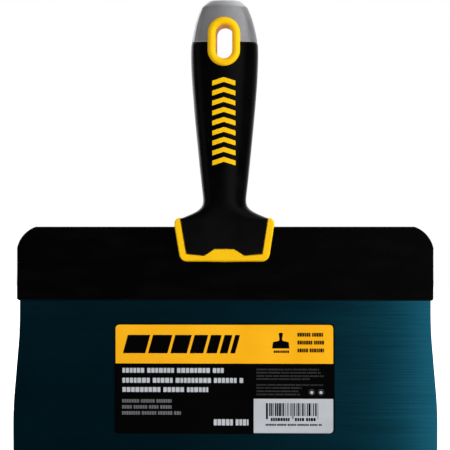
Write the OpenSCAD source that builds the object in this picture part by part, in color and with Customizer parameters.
// Drywall taping knife with a folded blade back, a soft grip and a striking cap.
// The knife hangs upright: width along X, front towards -Y, handle up along +Z.
// Heights in the sections below are measured from the lower edge of the blade's back.
// The finished pieces are lowered so that the origin is the centre of the hang hole.

/* [Blade] */
// Width of the working edge
edge_w = 254; // [240:1:270]
// Width of the blade where it leaves its back
blade_top_w = 245.4; // [230:0.2:246]
// How far the blade reaches below its back
blade_reach = 96; // [90:1:110]
// Thickness of the spring steel
blade_t = 0.6; // [0.4:0.1:0.8]
// Height of the point where the sides start to flare
flare_top = -17.4; // [-30:0.2:-5]
// Height of the point where the sides reach their full width
flare_end = -70; // [-80:1:-50]
// How much narrower the corners of the edge are than the widest point
corner_draw = 0.6; // [0:0.1:2]

/* [Blade back] */
// Width of the folded strip
back_w = 248.7; // [246.5:0.1:260]
// Height of the folded strip
back_h = 43.6; // [42.5:0.1:44]
// Thickness of its sheet steel
sheet_t = 0.9; // [0.6:0.1:1]
// Height of the hemmed lip that clamps the blade
lip_h = 10; // [8:0.5:11]
// Height at which the step above the lip ends
step_top = 17.1; // [14:0.1:20]
// Radius that rounds the two upper corners
back_corner_r = 12.2; // [6:0.1:16]

/* [Handle] */
// Height of the hang hole's centre
hang_h = 153.4; // [152:0.1:154]
// Height of the joint between grip and cap
seam_h = 153; // [152:0.1:155]
// Height of the grip's shoulder, where it meets the bolster
shoulder_h = 48.6; // [48:0.1:49]
// Sides of the handle's rounded cross-section
section_sides = 36; // [24:4:48]

/* [Bolster] */
// Half width at the top of the yellow rim
bolster_top_half = 29.6; // [28:0.1:31]
// Half width at the bottom of the yellow rim
bolster_foot_half = 27.0; // [26:0.1:28]
// Height of the bolster's lower edge
bolster_low = 22.5; // [21:0.1:23.5]
// Half thickness at the bolster's lower edge
bolster_low_t = 5.6; // [5.4:0.1:6.5]
// Half thickness at the bolster's top
bolster_high_t = 9.6; // [9:0.1:10]
// Depth of the grip's tongue in the rim
tongue_t = 1.8; // [1:0.1:2]

/* [Hang ring] */
// Width of the hole
hole_w = 9.9; // [8:0.1:10.5]
// Length of the hole
hole_l = 19.9; // [17:0.1:20.5]
// Width of the bead round the hole
bead_w = 4.7; // [4:0.1:5]
// Distance of the bead's crown from the handle's middle plane
crown_y = 16.1; // [15.6:0.1:17]
// Wall of the sleeve that lines the hole
sleeve_wall = 1.65; // [1.2:0.05:2]

/* [Inlay] */
// Half width of the marks
mark_half_w = 6.8; // [5:0.1:7]
// Height of the lowest mark
mark_low = 81.4; // [80:0.1:84]
// Distance from one mark to the next
mark_pitch = 5.9; // [5.5:0.1:6]
// Number of marks
mark_count = 9; // [5:1:9]
// Thickness of a mark's stroke, measured upwards
mark_stroke = 2.9; // [2:0.1:3.2]
// How far a mark's centre stands above its ends
mark_rise = 2.2; // [0:0.1:2.4]

/* [Label] */
// Width of the label
label_w = 131.2; // [100:0.2:140]
// Height of the label's upper edge
label_top = -14.2; // [-16:0.1:-10]
// Height of the label
label_h = 65.9; // [50:0.1:70]
// Corner radius of the label
label_r = 2.4; // [1:0.1:5]
// Thickness of the film
label_t = 0.15; // [0.1:0.05:0.3]

/* [Tang] */
// Thickness of each strap
strap_t = 1.5; // [1:0.1:1.6]
// Half width of the straps' foot
foot_half = 20; // [18:0.5:21]
// Half width of the straps in the neck
stem_half = 6; // [5:0.5:7]
// Half width of the straps' eye
eye_half = 10; // [9.5:0.1:11]
// Top of the straps
strap_top = 168; // [167:0.5:169]
// Height of the rivets
rivet_h = 34; // [33:0.5:35]
// Distance between rivets
rivet_pitch = 14; // [12:0.5:14]
// Radius of a rivet's shank
rivet_r = 2.2; // [1.5:0.1:2.4]
// Radius of a rivet's head
rivet_head_r = 4; // [3:0.1:4.5]
// Height of a rivet's head
rivet_head_t = 1.2; // [0.8:0.1:1.3]

/* [Hidden] */
$fn = 64;
through = 400;

// Outline of the handle: half width, half thickness and squareness of its section at each height
handle_w = [
    [shoulder_h, 25.9], [50.9, 20.6], [52.8, 17.0], [54.8, 14.4], [57.2, 12.95], [60, 12.75],
    [66, 13.25], [74, 14.0], [93, 15.9], [112, 17.8], [122, 18.6], [131, 19.3], [143, 19.75],
    [seam_h, 19.55], [161.3, 18.2], [167.3, 16.5], [174.5, 13.8], [178.7, 9.3]
];
handle_d = [
    [shoulder_h, 9.6], [54.8, 10.1], [60, 10.6], [74, 11.5], [93, 12.9], [112, 14.0], [131, 14.6],
    [seam_h, 14.5], [167.3, 13.7], [174.5, 12.7], [178.7, 8.6]
];
handle_n = [
    [shoulder_h, 7], [54.8, 4], [60, 2.8], [131, 2.7], [seam_h, 3], [174.5, 3.4], [178.7, 3.4]
];

// Core: a flat stem inside the grip and a spigot inside the cap, as half width and half thickness
stem_low = 44;
spigot_top = 170;
core_outline = [[9, stem_low], [9, 66], [14, 126], [14, seam_h - 4], [12, seam_h], [12, spigot_top]];
core_depth = [[7.2, stem_low], [7.2, 61], [8.2, 70], [8.2, spigot_top]];

// Black tongue inside the yellow rim, from its lower middle outwards and up
tongue_outline = [[6.4, 30.6], [12.1, 27.0], [22.5, 27.9], [25.9, shoulder_h], [25.9, shoulder_h + 0.4]];

// Distances from the middle plane of the knife, and half widths round the hole
lip_y = blade_t / 2 + 2 * sheet_t;
leaf_y = blade_t / 2 + sheet_t;
sleeve_half_w = hole_w / 2 + sleeve_wall;
bead_half_w = hole_w / 2 + bead_w;
hole_straight = (hole_l - hole_w) / 2;
bead_floor = 11.2;

// The blade's hidden upper corners are drawn in by this much
blade_corner = 13;

// Lower lip of the back: its rounded foot, and how far the hem stops below the step
lip_round = 0.5;
hem_stop = 2;
side_round = 0.8;

// Heights at which the straps' outline and section change
strap_low = 25;
foot_top = 42;
neck_low = 52;
neck_top = 128;
eye_low = 136;
splay_low = 44.5;
splay_high = 51.5;
head_rim = 0.3;
head_slope = 1;

// Bolster: radii of its feet and horns, height of its widest point, and the draft of its lower lip
foot_r = 4.2;
horn_r = 3.2;
widest_h = 44;
lower_lip = 1.4;
lip_draft = 1;

// The strip that carries the marks lies on the core's face
plate_y = core_depth[2][0];
plate_t = 1.2;
plate_rim = 0.6;

// Moves a piece from the heights above to the frame of the hang hole
module in_frame() {
    translate([0, 0, -hang_h])
        children();
}

// A flat shape drawn as width and height, given a thickness along Y
module facing(t) {
    rotate([90, 0, 0])
        linear_extrude(height = t, center = true)
            children();
}

// A flat shape drawn as depth and height, given a width along X
module across(w) {
    rotate([90, 0, 90])
        linear_extrude(height = w, center = true)
            children();
}

function arc(centre, r, from, to, steps = 8) = [
    for (i = [0:steps])
        let (a = from + (to - from) * i / steps)
            [centre[0] + r * cos(a), centre[1] + r * sin(a)]
];
function mirrored(half) = [for (i = [len(half) - 1:-1:0]) [-half[i][0], half[i][1]]];
function both_sides(half) = concat(half, mirrored(half));

// Handle body: a stack of rounded sections
function signed_pow(v, e) = sign(v) * pow(abs(v), e);
function section(z) =
    let (w = lookup(z, handle_w), d = lookup(z, handle_d), e = 2 / lookup(z, handle_n))
        [
            for (i = [0:section_sides - 1])
                let (a = 360 * i / section_sides)
                    [w * signed_pow(cos(a), e), d * signed_pow(sin(a), e), z]
        ];

module stack(heights) {
    n = section_sides;
    top = (len(heights) - 1) * n;
    points = [for (z = heights) each section(z)];
    sides = [
        for (r = [0:len(heights) - 2], i = [0:n - 1])
            let (a = r * n + i, b = r * n + (i + 1) % n)
                [a, a + n, b + n, b]
    ];
    foot_face = [[for (i = [0:n - 1]) i]];
    top_face = [[for (i = [n - 1:-1:0]) top + i]];
    polyhedron(points = points, faces = concat(foot_face, sides, top_face), convexity = 4);
}

module grip_body() {
    stack([for (row = handle_w) if (row[0] <= seam_h) row[0]]);
}

module cap_body() {
    stack([for (row = handle_w) if (row[0] >= seam_h) row[0]]);
}

// Blade, back and label
module blade_outline() {
    polygon(both_sides([
        [edge_w / 2 - corner_draw / 2, -blade_reach],
        [edge_w / 2, flare_end],
        [blade_top_w / 2, flare_top],
        [blade_top_w / 2, back_h - blade_corner],
        [blade_top_w / 2 - blade_corner, back_h - leaf_y - blade_t]
    ]));
}

module rivet_row() {
    for (i = [-1:1])
        translate([i * rivet_pitch, 0, rivet_h])
            rotate([90, 0, 0])
                children();
}

module rivet_holes() {
    rivet_row()
        cylinder(r = rivet_r, h = through, center = true);
}

module blade() {
    color("#123a4a")
        in_frame()
            difference() {
                facing(blade_t)
                    blade_outline();
                rivet_holes();
            }
}

// The folded strip's section: outside from the lip up and over to the other lip, then back inside
module back_section() {
    r = leaf_y;
    gap = blade_t / 2;
    outside = concat(
        [[gap, 0], [lip_y - lip_round, 0], [lip_y, lip_round], [lip_y, lip_h], [leaf_y, step_top]],
        arc([0, back_h - r], r, 0, 82)
    );
    hem_top = lip_h - hem_stop;
    inside = concat(
        arc([0, back_h - r], gap, 82, 0, 4),
        [[gap, step_top], [lip_y - sheet_t, lip_h], [lip_y - sheet_t, hem_top], [gap, hem_top]]
    );
    polygon(concat(both_sides(outside), mirrored(inside), inside));
}

module back_outline() {
    half = back_w / 2;
    r = back_corner_r;
    polygon(both_sides(concat(
        [[half - side_round, -1], [half, side_round]],
        arc([half - r, back_h - r], r, 2, 90)
    )));
}

module blade_back() {
    color("#0b0b0c")
        in_frame()
            difference() {
                intersection() {
                    across(back_w)
                        back_section();
                    facing(through)
                        back_outline();
                }
                rivet_holes();
            }
}

module rounded_panel(w, h, r) {
    polygon(concat(
        arc([w / 2 - r, h / 2 - r], r, 0, 90),
        arc([r - w / 2, h / 2 - r], r, 90, 180),
        arc([r - w / 2, r - h / 2], r, 180, 270),
        arc([w / 2 - r, r - h / 2], r, 270, 360)
    ));
}

module blade_label() {
    color("#f5b21e")
        in_frame()
            translate([0, -(blade_t + label_t) / 2, label_top - label_h / 2])
                facing(label_t)
                    rounded_panel(label_w, label_h, label_r);
}

// Tang: two straps that clasp the back and meet above it
module strap_outline() {
    polygon(both_sides([
        [foot_half, strap_low],
        [foot_half, foot_top],
        [stem_half, neck_low],
        [stem_half, neck_top],
        [eye_half, eye_low],
        [eye_half, strap_top]
    ]));
}

module strap() {
    outside = -leaf_y - strap_t;
    difference() {
        intersection() {
            facing(through)
                strap_outline();
            across(2 * foot_half)
                polygon([
                    [-leaf_y, strap_low], [-leaf_y, splay_low], [0, splay_high], [0, strap_top],
                    [-strap_t, strap_top], [-strap_t, splay_high], [outside, splay_low], [outside, strap_low]
                ]);
        }
        rivet_holes();
        sleeve_space();
    }
}

module tang_front_strap() {
    color("#9a9da0")
        in_frame()
            strap();
}

module tang_rear_strap() {
    color("#8d9093")
        in_frame()
            rotate([0, 0, 180])
                strap();
}

// One rivet along Z: a shank with a low domed head at each end
module rivet() {
    grip_half = leaf_y + strap_t;
    half = [
        [rivet_r, grip_half],
        [rivet_head_r, grip_half],
        [rivet_head_r, grip_half + head_rim],
        [rivet_head_r - head_slope, grip_half + rivet_head_t],
        [0, grip_half + rivet_head_t]
    ];
    rotate_extrude()
        polygon(concat(half, [for (i = [len(half) - 1:-1:0]) [half[i][0], -half[i][1]]]));
}

module tang_rivets() {
    color("#c0c2c4")
        in_frame()
            rivet_row()
                rivet();
}

// Hang ring: a sleeve through the handle and a bead on its face
module obround(half_w, depth) {
    rotate([90, 0, 0])
        linear_extrude(height = depth, center = true)
            union() {
                for (end = [-1, 1])
                    translate([0, end * hole_straight])
                        circle(r = half_w);
                square([2 * half_w, 2 * hole_straight], center = true);
            }
}

module sleeve_space() {
    translate([0, 0, hang_h])
        obround(sleeve_half_w, through);
}

module bead_space() {
    for (side = [-1, 1])
        translate([0, side * (bead_floor + through / 2), hang_h])
            obround(bead_half_w, through);
}

module ring_section() {
    mid = (hole_w / 2 + bead_half_w) / 2;
    r = bead_w / 2;
    polygon(concat(
        [[hole_w / 2, 0], [sleeve_half_w, 0], [sleeve_half_w, bead_floor], [bead_half_w, bead_floor]],
        arc([mid, crown_y - r], r, 0, 180, 12)
    ));
}

module hang_ring() {
    translate([0, 0, hang_h])
        rotate([90, 0, 0])
            union() {
                for (end = [0, 180])
                    rotate([0, 0, end])
                        translate([0, hole_straight, 0])
                            rotate_extrude(angle = 180)
                                ring_section();
                for (side = [0, 180])
                    rotate([0, 0, side])
                        translate([0, hole_straight, 0])
                            rotate([90, 0, 0])
                                linear_extrude(height = 2 * hole_straight)
                                    ring_section();
            }
}

module hang_ring_front() {
    color("#fccb10")
        in_frame()
            hang_ring();
}

module hang_ring_rear() {
    color("#fccb10")
        in_frame()
            rotate([0, 0, 180])
                hang_ring();
}

// Core with its forked bolster
module bolster_outline() {
    foot = [bolster_foot_half - foot_r - 0.2, bolster_low + foot_r];
    horn = [bolster_top_half - horn_r, shoulder_h - horn_r + 0.2];
    polygon(both_sides(concat(
        arc(foot, foot_r, 270, 350),
        [[bolster_top_half, widest_h]],
        arc(horn, horn_r, 0, 70)
    )));
}

module bolster_depth(inset) {
    low = bolster_low_t - inset;
    high = bolster_high_t - inset;
    polygon([
        [low - lip_draft, bolster_low - 0.01], [low, bolster_low + lower_lip], [high, shoulder_h + 0.5],
        [-high, shoulder_h + 0.5], [-low, bolster_low + lower_lip], [lip_draft - low, bolster_low - 0.01]
    ]);
}

// The space outside the floor of the rim, where the grip's tongues lie
module tongue_space(proud) {
    difference() {
        intersection() {
            facing(through)
                polygon(both_sides(tongue_outline));
            across(through)
                bolster_depth(-proud);
        }
        across(through + 2)
            bolster_depth(tongue_t);
    }
}

module core_stem() {
    intersection() {
        facing(through)
            polygon(both_sides(core_outline));
        across(through)
            polygon(both_sides(core_depth));
    }
}

module bolster_block() {
    intersection() {
        facing(through)
            bolster_outline();
        across(through)
            bolster_depth(0);
        translate([-through / 2, -through / 2, 0])
            cube([through, through, shoulder_h]);
    }
}

module clasped_parts() {
    translate([-through / 2, -leaf_y, 0])
        cube([through, 2 * leaf_y, back_h]);
    strap();
    rotate([0, 0, 180])
        strap();
    rivet_row()
        rivet();
}

module handle_core() {
    color("#fcc814")
        in_frame()
            difference() {
                union() {
                    difference() {
                        bolster_block();
                        tongue_space(1);
                    }
                    core_stem();
                }
                clasped_parts();
                sleeve_space();
            }
}

// Marks: a strip on the core, with strokes that rise through windows in the grip
module marks() {
    for (i = [0:mark_count - 1])
        translate([0, 0, mark_low + i * mark_pitch])
            translate([0, -through / 2 - plate_y, 0])
                facing(through)
                    polygon([
                        [-mark_half_w, -mark_stroke / 2], [0, mark_rise - mark_stroke / 2],
                        [mark_half_w, -mark_stroke / 2], [mark_half_w, mark_stroke / 2],
                        [0, mark_rise + mark_stroke / 2], [-mark_half_w, mark_stroke / 2]
                    ]);
}

module mark_plate() {
    low = mark_low - mark_stroke;
    high = mark_low + (mark_count - 1) * mark_pitch + mark_rise + mark_stroke;
    half = mark_half_w + plate_rim;
    translate([-half, -plate_y - plate_t, low])
        cube([2 * half, plate_t, high - low]);
}

module grip_inlay() {
    color("#fcc814")
        in_frame()
            union() {
                intersection() {
                    marks();
                    grip_body();
                }
                mark_plate();
            }
}

module grip_sleeve() {
    color("#151515")
        in_frame()
            difference() {
                union() {
                    grip_body();
                    tongue_space(0);
                }
                core_stem();
                marks();
                mark_plate();
                sleeve_space();
                bead_space();
            }
}

module end_cap() {
    color("#9b9ca0")
        in_frame()
            difference() {
                cap_body();
                core_stem();
                sleeve_space();
                bead_space();
            }
}

blade();
blade_back();
blade_label();
tang_front_strap();
tang_rear_strap();
tang_rivets();
handle_core();
grip_sleeve();
grip_inlay();
end_cap();
hang_ring_front();
hang_ring_rear();
